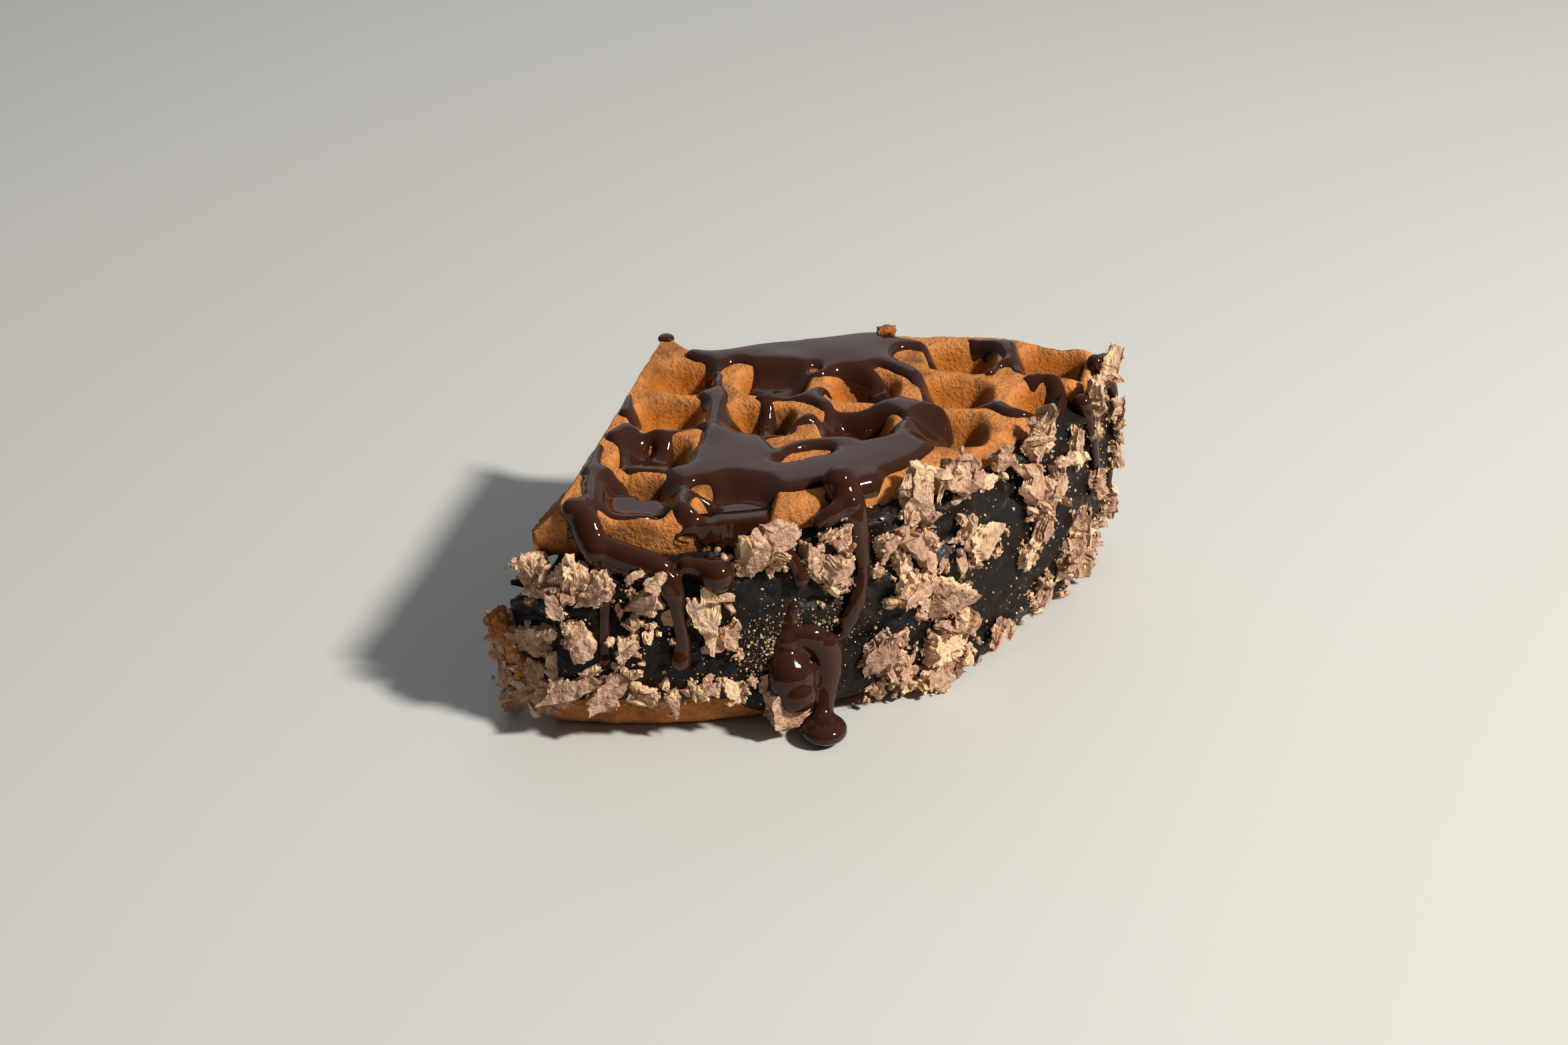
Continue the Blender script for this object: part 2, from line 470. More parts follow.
def quads(rows, columns, first=0):
    """Faces of a grid of points laid out row by row."""
    start = (np.arange(rows - 1)[:, None] * columns + np.arange(columns - 1)[None, :]).ravel() + first
    return np.stack([start, start + 1, start + columns + 1, start + columns], axis=1)


def add_piece(name, points, faces, surface, nodes=(), values=None, smooth=True):
    """Makes one object from points in millimetres about the tip, with extra values for its material."""
    mesh = bpy.data.meshes.new(name)
    places = (np.asarray(points) + TIP) * MM
    mesh.from_pydata(places.tolist(), [], [list(map(int, face)) for face in faces])
    mesh.update()
    for key, numbers in (values or {}).items():
        layer = mesh.attributes.new(key, "FLOAT", "POINT")
        layer.data.foreach_set("value", np.asarray(numbers, dtype=np.float32))
    piece = bpy.data.objects.new(name, mesh)
    bpy.context.scene.collection.objects.link(piece)
    return finish_piece(piece, surface, nodes, smooth)


def finish_piece(piece, surface, nodes, smooth=True):
    """Gives a piece its material, turns its faces outwards and ties it to the part."""
    piece.data.materials.append(surface)
    piece.data.polygons.foreach_set("use_smooth", [smooth] * len(piece.data.polygons))
    form = bmesh.new()
    form.from_mesh(piece.data)
    bmesh.ops.recalc_face_normals(form, faces=form.faces)
    form.to_mesh(piece.data)
    form.free()
    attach(piece, "root")
    if nodes:
        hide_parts(*nodes)
    return piece


def apply_modifiers(piece):
    """Turns the result of a piece's modifiers into its mesh."""
    bpy.context.view_layer.update()
    mesh = bpy.data.meshes.new_from_object(piece.evaluated_get(bpy.context.evaluated_depsgraph_get()))
    piece.modifiers.clear()
    piece.data = mesh


def edge_line(points):
    """Distances from the tip and bearings of the points of an edge."""
    return np.hypot(*points.T), np.degrees(np.arctan2(points[:, 1], points[:, 0]))


def fan(low, high, lines, columns, rows):
    """Points on the plan of a waffle's upper face: rows at growing distances, then the rolled rim."""
    level = (low + high) / 2
    rims = RIM_ROUND * (1 - np.sin(np.linspace(0, math.pi / 2, RIM_STEPS)))
    steps = np.linspace(0.004, 1, rows)
    plan = []
    for index in range(rows + len(rims) - 1):
        near = FACE_REACH * steps[index] if index < rows else RIM_REACH
        bearing = np.linspace(np.interp(near, *lines[0]), np.interp(near, *lines[1]), columns)
        edge = reach(bearing, level)
        flat = (edge - RIM_ROUND) * steps[index] if index < rows else edge - rims[index - rows + 1]
        turn = np.radians(bearing)
        plan.append(np.stack([flat * np.cos(turn), flat * np.sin(turn)], axis=1))
    return np.array(plan)


def edge_inward(loop, number, places):
    """Directions into a waffle at the points of its outline, and which of them are on the round rim."""
    on_rim = np.isin(loop, number[-1])
    on_left = np.isin(loop, number[:, 0]) & ~on_rim
    on_back = np.isin(loop, number[:, -1]) & ~on_rim
    toward = WAFFLE_MIDDLE - places[:, :2]
    toward /= np.linalg.norm(toward, axis=1)[:, None]
    inward = np.where(on_rim[:, None], toward, 0)
    inward = np.where(on_left[:, None], -OUTWARD, inward)
    inward = np.where(on_back[:, None], BACK_INWARD, inward)
    return inward, on_rim


def edge_sink(place, low, on_rim):
    """How far a waffle's edge lies inside its outline: a rolled rim, or a rough cut full of pores."""
    rim = rolled(RIM_ROUND - (place[:, 2] - low)) + layered(place, RIM_GRAIN)
    pores = PORE_DEPTH * smooth_step(layered(place, CUT_PORES), 0.25, 0.8)
    return np.where(on_rim, rim, layered(place, CUT_GRAIN) + pores + CUT_SINK)


def slab(name, low, high, lines, relief, counts, bend, surface):
    """A waffle: its upper face over a fan of points about the tip, its edges, and its underside."""
    columns, rows, wall_rows = counts
    plan = fan(low, high, lines, columns, rows)
    x, y = plan[..., 0], plan[..., 1]
    height, pocket = relief(x, y)
    upper = np.stack([x, y, high + height - rim_drop(x, y, (low + high) / 2)], axis=2)
    number = np.arange(x.size).reshape(x.shape)
    loop = np.concatenate([number[:, 0], number[-1, 1:], number[-2::-1, -1], number[0, -2:0:-1]])
    points = upper.reshape(-1, 3)
    outline = points[loop]
    inward, on_rim = edge_inward(loop, number, outline)
    layers = []
    for step in range(1, wall_rows + 1):
        share = step / wall_rows
        place = outline.copy()
        place[:, 2] = outline[:, 2] * (1 - share) + low * share
        place[:, :2] += inward * (edge_sink(place, low, on_rim) * min(step / 2, 1))[:, None]
        layers.append(place)
    total = len(points)
    rings = [loop] + [total + np.arange(len(loop)) + len(loop) * step for step in range(wall_rows)]
    faces = quads(*x.shape).tolist()
    for above, below in zip(rings[:-1], rings[1:]):
        faces += np.stack([above, below, np.roll(below, -1), np.roll(above, -1)], axis=1).tolist()
    faces.append(rings[-1].tolist()[::-1])
    points = bend(np.concatenate([points] + layers))
    cut = np.concatenate([np.zeros(total), np.tile(np.where(on_rim, 0, 1), wall_rows)])
    hollow = np.concatenate([pocket.ravel(), np.zeros(len(points) - total)])
    node_name = name.replace("_crust", "")
    piece = add_piece(name, points, faces, surface, (node_name,), {"pocket": hollow, "cut": cut})
    piece.data.polygons[len(faces) - 1].use_smooth = False
    return piece


def top_swell(x, y):
    """Slow unevenness of the top, shared by the waffle and its sauce."""
    return flat_grain(x, y, TOP_SWELL)


def top_relief(x, y):
    """Height of the top waffle's face, with its ribs and pockets, and the depth of the pockets."""
    depth = pocket_shape(x, y)
    swell = top_swell(x, y) + flat_grain(x, y, TOP_LUMPS) * (1 + depth)
    return swell + flat_grain(x, y, TOP_GRAIN) - POCKET_DEPTH * depth, depth


def plain_relief(x, y):
    """Height of the bottom waffle's face, which has no pockets."""
    return flat_grain(x, y, BOTTOM_SWELL), np.zeros(x.shape)


def bend_corner(points):
    """Bends up the left corner of the bottom waffle."""
    beyond = points[:, :2] @ OUTWARD
    share = np.where((beyond > 0) & (points[:, 1] < CORNER_FROM), np.clip(beyond, 0, None) / CORNER_REACH, 0)
    points[:, 2] += CORNER_LIFT * share ** CORNER_BEND
    return points


def flare_left_cut(points):
    """Spreads the lower part of the top waffle's left cut outwards towards the front."""
    inside = np.clip(-points[:, :2] @ OUTWARD, 0, None)
    along = np.clip((FLARE_FROM - points[:, 1]) / FLARE_LENGTH, 0, 1)
    depth = np.clip((FLARE_TOP - points[:, 2]) / FLARE_DROP, 0, 1)
    points[:, :2] += OUTWARD * (FLARE * along * depth * np.exp(-inside / FLARE_WIDTH))[:, None]
    return points


def sauce_mask(x, y):
    """Signed distance to the edge of the sauce on the plan: negative inside it."""
    near = np.full(x.shape, FAR)
    for run in SAUCE_RUNS:
        path = smooth_run(np.array(run), RUN_STEPS)
        own = np.full(x.shape, FAR)
        for first, second in zip(path[:-1], path[1:]):
            step = second[:2] - first[:2]
            share = ((x - first[0]) * step[0] + (y - first[1]) * step[1]) / max(step @ step, 1e-9)
            share = np.clip(share, 0, 1)
            gap = np.hypot(x - first[0] - step[0] * share, y - first[1] - step[1] * share)
            own = np.minimum(own, gap - (first[2] + (second[2] - first[2]) * share))
        near = smooth_min(near, own, SAUCE_BLEND)
    for spot_x, spot_y, half_width, half_length in BARE_SPOTS:
        size = math.sqrt(half_width * half_length)
        inside = (np.hypot((x - spot_x) / half_width, (y - spot_y) / half_length) - 1) * size
        near = -smooth_min(-near, inside, BARE_BLEND)
    return near - SAUCE_SPREAD + flat_grain(x, y, SAUCE_WAVER)


def smooth_run(points, steps):
    """A finer line through the points, curved through each of them."""
    padded = np.vstack([2 * points[0] - points[1], points, 2 * points[-1] - points[-2]])
    result = []
    for index in range(len(points) - 1):
        a, b, c, d = padded[index:index + 4]
        for step in range(steps):
            t = step / steps
            result.append(0.5 * (2 * b + (c - a) * t + (2 * a - 5 * b + 4 * c - d) * t * t
                                 + (3 * b - a - 3 * c + d) * t ** 3))
    result.append(points[-1])
    return np.array(result)


def sheet_heights(x, y, mask, thick):
    """Heights of the sauce's upper and lower face over points on the plan."""
    level = HEIGHT - TOP_THICK / 2
    inside = np.clip(-mask, 0, None)
    bead = np.sqrt(1 - (1 - np.clip(inside / SAUCE_BEAD, 0, 1)) ** 2)
    layer = thick * bead + SAUCE_DOME * (1 - np.exp(-inside / SAUCE_DOME_REACH))
    layer = np.where(mask > 0, -SAUCE_FALL * mask, layer)
    depth = pocket_shape(x, y, SAUCE_SOFT)
    base = HEIGHT + top_swell(x, y) - POCKET_DEPTH * SAUCE_SAG * depth - rim_drop(x, y, level)
    upper = base + layer
    for pool_x, pool_y, half_width, half_length, still in SAUCE_POOLS:
        away = np.hypot((x - pool_x) / half_width, (y - pool_y) / half_length)
        pool = still - POOL_FALL * smooth_step(away, *POOL_EDGE)
        upper = np.where(mask < POOL_MARGIN, -smooth_min(-upper, -pool, POOL_BLEND), upper)
    return upper, np.minimum(base, upper) - SAUCE_FLOOR


def closed_sheet(x, y, upper, lower, keep):
    """Points and faces of a sheet with two faces and an edge, over the points of a grid that are kept."""
    cells = keep[:-1, :-1] | keep[1:, :-1] | keep[:-1, 1:] | keep[1:, 1:]
    number = np.arange(x.size).reshape(x.shape)
    corners = [number[:-1, :-1], number[:-1, 1:], number[1:, 1:], number[1:, :-1]]
    top = np.stack([corner[cells] for corner in corners], axis=1)
    faces = [top[:, ::-1], top + x.size]
    wide = np.pad(cells, 1)
    for first, second, down, across in ((0, 1, -1, 0), (1, 2, 0, 1), (2, 3, 1, 0), (3, 0, 0, -1)):
        beside = wide[1 + down:wide.shape[0] - 1 + down, 1 + across:wide.shape[1] - 1 + across]
        border = cells & ~beside
        a, b = corners[first][border], corners[second][border]
        faces.append(np.stack([a, b, b + x.size, a + x.size], axis=1))
    faces = np.concatenate(faces)
    points = np.concatenate([np.stack([x, y, z], axis=2).reshape(-1, 3) for z in (upper, lower)])
    used = np.unique(faces)
    lookup = np.zeros(len(points), dtype=np.int64)
    lookup[used] = np.arange(len(used))
    return points[used], lookup[faces]


def sauce_sheet(spacing, thick):
    """Points and faces of the closed sheet of sauce that lies on the top."""
    columns, rows = (int(length / spacing) for length in SHEET_SIZE)
    across = SHEET_FROM[0] + spacing * np.arange(columns)
    x, y = np.meshgrid(across, SHEET_FROM[1] - spacing * np.arange(rows))
    edge = np.hypot(x, y) - reach(np.degrees(np.arctan2(y, x)), HEIGHT - TOP_THICK / 2) + SHEET_CLEAR[0]
    left = x * OUTWARD[0] + y * OUTWARD[1] + SHEET_CLEAR[1]
    back = y - np.interp(x, *np.vstack([(0, 0), TOP_BACK_EDGE]).T) + SHEET_CLEAR[2]
    mask = np.maximum.reduce([sauce_mask(x, y), edge, left, back])
    return closed_sheet(x, y, *sheet_heights(x, y, mask, thick), mask < SAUCE_MARGIN)


def tube(path, sides=12, press=1.0):
    """Points and faces of a run through points of (x, y, z, half width), pressed towards the wall."""
    points = []
    count = len(path)
    ahead = np.gradient(path[:, :3], axis=0)
    for index in range(count):
        forward = Vector(ahead[index]).normalized()
        side = forward.orthogonal().normalized()
        over = forward.cross(side)
        outward = Vector((path[index, 0], path[index, 1], 0)).normalized()
        for step in range(sides):
            turn = 2 * math.pi * step / sides
            offset = (side * math.cos(turn) + over * math.sin(turn)) * path[index, 3]
            offset -= outward * offset.dot(outward) * (1 - press)
            points.append(Vector(path[index, :3]) + offset)
    faces = []
    for index in range(count - 1):
        for step in range(sides):
            a = index * sides + step
            b = index * sides + (step + 1) % sides
            faces.append((a, b, b + sides, a + sides))
    faces.append(tuple(range(sides))[::-1])
    faces.append(tuple(range((count - 1) * sides, count * sides)))
    return np.array(points), faces


def ball(place, size, form):
    """Adds a rounded drop with the given half sizes."""
    set_at = Matrix.Translation(place) @ Matrix.Diagonal((*size, 1))
    bmesh.ops.create_icosphere(form, subdivisions=3, radius=1.0, matrix=set_at)


def sauce_piece(surface, spacing, thick, voxel):
    """The sauce: the sheet on the top, the drips on the round side and the drop at their foot."""
    form = bmesh.new()
    points, faces = sauce_sheet(spacing, thick)
    add_to(form, points, faces)
    for run in DRIPS:
        places = []
        for bearing, height, half_width, out in run:
            places.append([*wall_point(bearing, height, out - DRIP_SINK), half_width])
        path = smooth_run(np.array(places), DRIP_STEPS)
        points, faces = tube(path, press=DRIP_PRESS)
        add_to(form, points, faces)
        ball(Vector(path[0, :3]), [path[0, 3]] * 3, form)
        ball(Vector(path[-1, :3]), [path[-1, 3] * DRIP_END] * 3, form)
    bearing, out, half_width, half_height = DRIP_FOOT
    ball(Vector(wall_point(bearing, half_height, out)), (half_width, half_width, half_height), form)
    ball(Vector(TIP_DROP[:3]), (TIP_DROP[3], TIP_DROP[3], TIP_DROP[4]), form)
    mesh = bpy.data.meshes.new("sauce")
    form.transform(Matrix.Translation(Vector(TIP)))
    form.transform(Matrix.Scale(MM, 4))
    form.to_mesh(mesh)
    form.free()
    piece = bpy.data.objects.new("sauce", mesh)
    bpy.context.scene.collection.objects.link(piece)
    skin = piece.modifiers.new("Skin", "REMESH")
    skin.mode = "VOXEL"
    skin.voxel_size = voxel * MM
    relax = piece.modifiers.new("Relax", "SMOOTH")
    relax.factor = 0.5
    relax.iterations = 3
    apply_modifiers(piece)
    for vert in piece.data.vertices:
        vert.co.z = max(vert.co.z, GROUND_GAP * MM)
    return finish_piece(piece, surface, ("waffle_top",))


def add_to(form, points, faces):
    """Adds points and faces to a form that is being made."""
    verts = [form.verts.new(point) for point in points]
    for face in faces:
        form.faces.new([verts[index] for index in face])


def cut_sheet(edge, heights, inner, inward, back):
    """A cut face of the filling, from the round side to the tip, dragged rough by the knife."""
    shares = np.linspace(1, 0, inner)
    sheet = edge[:, None, :] * np.array([1.0, 1.0, 0.0]) * shares[None, :, None]
    sheet[..., 2] = heights[:, None]
    if back:
        sheet[..., 1] = np.interp(sheet[..., 0], *np.vstack([(0, 0), BACK_EDGE]).T)
    places = sheet.reshape(-1, 3)
    rough = layered(places * KNIFE_DRAG, CORE_CUT_LUMPS) + layered(places, CORE_CUT_GRAIN)
    rough = (rough.reshape(len(heights), inner) + CORE_CUT_SINK) * np.minimum(shares * 9, 1)
    sheet[..., :2] += rough[..., None] * inward
    sheet[:, 0] = edge
    return sheet.reshape(-1, 3)


def filling_core(surface):
    """The chocolate between the waffles, with its cut faces and its streaked round side."""
    low = BOTTOM_THICK - CORE_OVERLAP
    high = HEIGHT - TOP_THICK + CORE_OVERLAP
    columns, rows, inner = CORE_COUNTS
    heights = np.linspace(high, low, rows)
    b, z = np.meshgrid(np.linspace(LEFT_CUT, BACK_CUT, columns), heights)
    smear = layered(unrolled(b, z, CORE_STRETCH), CORE_SMEAR).reshape(b.shape)
    wall = round_wall(b, z, reach(b, z, CORE_OUT) + wall_bulge(z) + smear - CORE_SINK)
    left = cut_sheet(wall[:, 0], heights, inner, LEFT_INWARD, False)
    back = cut_sheet(wall[:, -1], heights, inner, BACK_INWARD, True)
    points = np.concatenate([wall.reshape(-1, 3), left, back, [[0.0, 0.0, high], [0.0, 0.0, low]]])
    total = columns * rows
    faces = quads(rows, columns).tolist()
    faces += quads(rows, inner, total).tolist()
    faces += quads(rows, inner, total + rows * inner).tolist()
    for first, end in ((0, len(points) - 2), (columns * (rows - 1), len(points) - 1)):
        faces += [[end, first + step, first + step + 1] for step in range(columns - 1)]
    piece = add_piece("filling_core", points, faces, surface, ("filling",))
    return piece


def coat_streaks(b, z):
    """How far the smeared coat stands out from its mean surface at bearings and heights."""
    place = unrolled(b, z)
    streaks = [layered(place * np.array(stretch), [layer]) for stretch, layer in COAT_STREAKS]
    return sum(streaks).reshape(b.shape) - STREAK_SINK


def filling_coat(surface):
    """Chocolate smeared over the edges of the waffles on the round side."""
    columns, rows = COAT_COUNTS
    bearings = np.linspace(COAT_FROM[0], COAT_TO[0], columns)
    b, z = np.meshgrid(bearings, np.linspace(COAT_FROM[1], COAT_TO[1], rows))
    ragged = layered(unrolled(b, z), COAT_RAGGED).reshape(b.shape)
    top = np.interp(bearings, *COAT_TOP_EDGE)
    low = np.interp(bearings, *COAT_LOW_EDGE)
    cover = np.minimum(top[None, :] - z, z - low[None, :]) + ragged * COAT_RAGGED_SHARE
    cover = smooth_step(cover, *COAT_FADE)
    out = (wall_bulge(z) + COAT_THICK + coat_streaks(b, z)) * cover - COAT_DIP * (1 - cover)
    wall = round_wall(b, z, reach(b, z) + out)
    piece = add_piece("filling_coat", wall.reshape(-1, 3), quads(rows, columns), surface, ("filling",))
    return piece


def filling_corner(surface):
    """Dark cream over the bent corner, with the thin tongue of it that sticks out above."""
    columns, rows, cap_rows = CORNER_COUNTS
    outline = np.array(CORNER_FILL + CORNER_FILL[:1])
    length = np.concatenate([[0], np.cumsum(np.hypot(*np.diff(outline, axis=0).T))])
    along = np.linspace(0, length[-1], columns)
    ring = np.stack([np.interp(along, length, outline[:, k]) for k in (0, 1)], axis=1)
    middle = ring.mean(axis=0)
    layers = []
    for share in np.linspace(0.03, 1, cap_rows):
        height = np.full(columns, CORNER_FILL_TOP - share)
        layers.append(np.column_stack([middle + (ring - middle) * share, height]))
    for height in np.linspace(CORNER_FILL_TOP - 1, BOTTOM_THICK - 1, rows)[1:]:
        layers.append(np.column_stack([ring, np.full(columns, height)]))
    points = np.concatenate(layers)
    points = points + shifts(points, CORNER_LUMPS)
    for layer in range(len(layers)):
        points[(layer + 1) * columns - 1] = points[layer * columns]
    faces = quads(len(layers), columns).tolist()
    tongue, tongue_faces = tube(smooth_run(np.array(TONGUE), 8))
    faces += [[index + len(points) for index in face] for face in tongue_faces]
    piece = add_piece("filling_corner", np.vstack([points, tongue]), faces, surface, ("filling",))
    return piece


def plate_faces(rings, sides, skirt):
    """Triangles of a closed plate: rows of points from the middle of one face round to the other's."""
    near = np.arange(sides)
    far = (near + 1) % sides
    faces = [np.stack([np.zeros(sides, dtype=int), near + 1, far + 1], axis=1)]
    for row in range(2 * rings + skirt - 1):
        first = 1 + row * sides
        second = first + sides
        faces.append(np.stack([first + near, second + near, second + far], axis=1))
        faces.append(np.stack([first + near, second + far, first + far], axis=1))
    last = 1 + (2 * rings + skirt) * sides
    faces.append(np.stack([np.full(sides, last), last - sides + far, last - sides + near], axis=1))
    return np.concatenate(faces)


def broken_outlines(rng, count, sides):
    """Outlines with straight broken edges and bites: the distance from the middle in each direction."""
    turns = np.linspace(0, 2 * np.pi, sides, endpoint=False)
    outlines = np.empty((count, sides))
    for index in range(count):
        corners = int(rng.integers(4, 8))
        at = (np.arange(corners) + rng.uniform(-0.34, 0.34, corners)) * 2 * np.pi / corners
        size = rng.uniform(0.5, 1.25, corners)
        walk = np.linspace(0, corners, 12 * corners, endpoint=False)
        x = np.interp(walk, np.arange(corners + 1), np.append(size * np.cos(at), size[0] * math.cos(at[0])))
        y = np.interp(walk, np.arange(corners + 1), np.append(size * np.sin(at), size[0] * math.sin(at[0])))
        outline = np.interp(turns, np.arctan2(y, x), np.hypot(x, y), period=2 * np.pi)
        for bite in rng.uniform(0, 2 * np.pi, 3):
            gap = np.abs((turns - bite + np.pi) % (2 * np.pi) - np.pi)
            outline = outline * (1 - rng.uniform(0.05, 0.3) * np.exp(-(gap / rng.uniform(0.12, 0.3)) ** 2))
        outlines[index] = outline * rng.uniform(0.9, 1.08, sides)
    return outlines


def layer_steps(rng, x, z, length, thick):
    """How deep a broken face lies below its plate's face: up to three broken layers."""
    sunk = np.zeros(x.shape)
    count = len(x)
    for _step in range(3):
        angle = rng.uniform(0, 2 * np.pi, (count, 1))
        start = rng.uniform(0.0, 0.3, (count, 1)) * length
        depth = rng.uniform(0.1, 0.32, (count, 1)) * thick
        sunk += depth * smooth_step(x * np.cos(angle) + z * np.sin(angle) - start, 0, 0.35)
    return np.minimum(sunk, 0.44 * thick)


def wafer_share(rng, level, drops, thick, patches):
    """Share of bare wafer at the points of plates: most have chocolate on one face, and some on both."""
    count = len(thick)
    coated = np.where(rng.random((count, 1)) < ONE_FACE_SHARE, 1, -1)
    facing = level * coated
    wafer = 1 - smooth_step(facing, -0.1, 0.5)
    both = rng.random((count, 1)) < BOTH_FACES_SHARE
    wafer = np.where(both, wafer * (1 - smooth_step(-facing, 0.7, 0.95)), wafer)
    bared = np.where(facing > 0.5, np.where(coated > 0, drops[0], drops[1]) / thick, 0)
    wafer = np.maximum(wafer, smooth_step(bared, 0.14, 0.24))
    wafer = np.clip(wafer + 0.45 * patches, 0, 1)
    dark = rng.random((count, 1)) < DARK_SHARE
    return np.where(dark, wafer * 0.12, wafer)


def plates(rng, sizes, rings, sides, skirt):
    """Broken flakes about their own middles: their points, and the share of bare wafer at each."""
    count = len(sizes)
    length, width, thick = sizes[:, 0:1], sizes[:, 1:2], sizes[:, 2:3]
    ring = np.repeat(np.arange(1, rings + 1) / rings, sides)
    back = ring.reshape(rings, sides)[::-1].ravel()
    share = np.concatenate([[0], ring, np.ones(skirt * sides), back, [0]])
    face = np.ones(1 + rings * sides)
    level = np.concatenate([face, np.repeat(np.linspace(1, -1, skirt + 2)[1:-1], sides), -face])
    side = np.concatenate([[0], np.tile(np.arange(sides), 2 * rings + skirt), [0]])
    turn = side * 2 * np.pi / sides
    inset = np.repeat(rng.uniform(0, 0.7, (count, skirt)), sides, axis=1)
    inset = np.pad(inset, ((0, 0), (1 + rings * sides, 1 + rings * sides)))
    spread = broken_outlines(rng, count, sides)[:, side] * share * (1 - inset / (0.5 * width + 1))
    x = spread * np.cos(turn) * width / 2
    z = spread * np.sin(turn) * length / 2
    drops = [layer_steps(rng, x, z, length, thick) for _face in range(2)]
    y = level * thick / 2 - (1 + level) / 2 * drops[0] + (1 - level) / 2 * drops[1]
    y += rng.uniform(-0.3, 0.3, (count, 1)) * z ** 2 / length
    y += rng.uniform(-0.3, 0.3, (count, 1)) * x ** 2 / width
    points = np.stack([x, y, z], axis=2)
    apart = (points + rng.uniform(0, 400, (count, 1, 3))).reshape(-1, 3)
    sized = np.clip(length / FULL_ROUGH_LENGTH, 0.35, 1)
    points += shifts(apart, FLAKE_ROUGH).reshape(points.shape) * sized[:, :, None]
    return points, wafer_share(rng, level, drops, thick, grain(apart, 1.3, 91).reshape(x.shape))


def near_drip(bearing, height):
    """Whether a place on the wall is under a drip."""
    for run in DRIPS:
        for first, second in zip(run[:-1], run[1:]):
            a = np.array([first[0] * ARC, first[1]])
            step = np.array([second[0] * ARC, second[1]]) - a
            share = np.clip((np.array([bearing * ARC, height]) - a) @ step / (step @ step), 0, 1)
            gap = math.hypot(*(np.array([bearing * ARC, height]) - a - step * share))
            if gap < first[2] + (second[2] - first[2]) * share:
                return True
    return False


def set_flake(place, outward, size, lean, tip, swing):
    """A flake's size, its place and the turn of its axes."""
    outward = Vector(outward)
    upward = Vector((0, 0, 1))
    axes = Matrix((upward.cross(outward).normalized(), outward, upward)).transposed()
    for angle, axis in ((math.radians(lean), "Y"), (tip, "X"), (swing, "Z")):
        axes = axes @ Matrix.Rotation(angle, 3, axis)
    return size, np.array(place), np.array(axes)


def outward_at(bearing):
    """The flat direction away from the tip at a bearing."""
    return np.array([math.cos(math.radians(bearing)), math.sin(math.radians(bearing)), 0.0])


def chips_about(rng, place, outward, size, lean, count):
    """Smaller pieces that cling to a large flake."""
    length, width, thick = size
    sideways = np.cross([0, 0, 1], outward)
    turn = math.radians(lean)
    chips = []
    for _chip in range(count):
        along = rng.uniform(-0.46, 0.46) * length
        across = rng.uniform(-0.5, 0.5) * width
        spot = place + sideways * (across * math.cos(turn) + along * math.sin(turn))
        spot = spot + outward * rng.uniform(-0.2, 0.5) * thick
        spot[2] += along * math.cos(turn) - across * math.sin(turn)
        own = length * rng.uniform(0.22, 0.52)
        own_size = (own, own * rng.uniform(0.3, 0.8), rng.uniform(0.8, 1.9))
        chips.append(set_flake(spot, outward, own_size, rng.uniform(-90, 90), *rng.uniform(-1.2, 1.2, 2)))
    return chips


def large_flakes(rng):
    """The large flakes of the wall and the bent corner, and the chips that cling to them."""
    spots = []
    for bearing, height, length, width, thick, lean in BIG_FLAKES:
        place = wall_point(bearing, height, 0.1 * thick)
        spots.append((place, outward_at(bearing), (length, width, thick), lean))
    for x, y, height, length, width, thick, lean in CORNER_FLAKES:
        outward = np.array([x, y, 0.0]) / math.hypot(x, y)
        spots.append((np.array([x, y, height]), outward, (length, width, thick), lean))
    large, chips = [], []
    for place, outward, size, lean in spots:
        large.append(set_flake(place, outward, size, lean, *rng.uniform(-0.32, 0.32, 2)))
        chips += chips_about(rng, place, outward, size, lean, CHIPS_EACH)
    return large, chips


def in_zone(bearing, height, zones):
    """Whether a place on the wall is inside one of the given stretches."""
    return any(a < bearing < b and low < height < high for a, b, low, high in zones)


def flake_top(bearing):
    """How high up the wall scattered flakes and crumbs reach at a bearing."""
    return min(LEFT_FLAKE_TOP + (bearing - LEFT_CUT) * FLAKE_TOP_RISE, CRUMB_HIGH)


def scattered_flakes(rng, count):
    """Small flakes over the wall, most of them where they crowd."""
    areas = np.array([(b - a) * (high - low) for a, b, low, high in CROWDED_WALL])
    flakes = []
    while len(flakes) < count:
        crowded = rng.random() < CROWDED_SHARE
        if crowded:
            a, b, low, high = CROWDED_WALL[int(rng.choice(len(areas), p=areas / areas.sum()))]
            bearing = rng.uniform(a, b)
            height = rng.uniform(low, high)
        else:
            bearing = rng.uniform(-101, -7)
            height = rng.uniform(2.5, flake_top(bearing))
        bare = not crowded and in_zone(bearing, height, BARE_WALL) and rng.random() < BARE_SHARE
        if bare or near_drip(bearing, height) or (height < 8 and bearing < -78):
            continue
        length = 1.6 + 5.2 * rng.random() ** 1.8
        size = (length, length * rng.uniform(0.3, 0.85), rng.uniform(0.7, 1.8))
        place = wall_point(bearing, height, rng.uniform(-1.0, 1.1))
        tip, swing = rng.uniform(-1.2, 1.2, 2)
        flakes.append(set_flake(place, outward_at(bearing), size, rng.uniform(-90, 90), tip, swing))
    return flakes


def repeated(faces, count, step):
    """The same faces for a number of plates, whose points follow each other."""
    starts = np.arange(count) * step
    return (faces[None] + starts[:, None, None]).reshape(-1, 3)


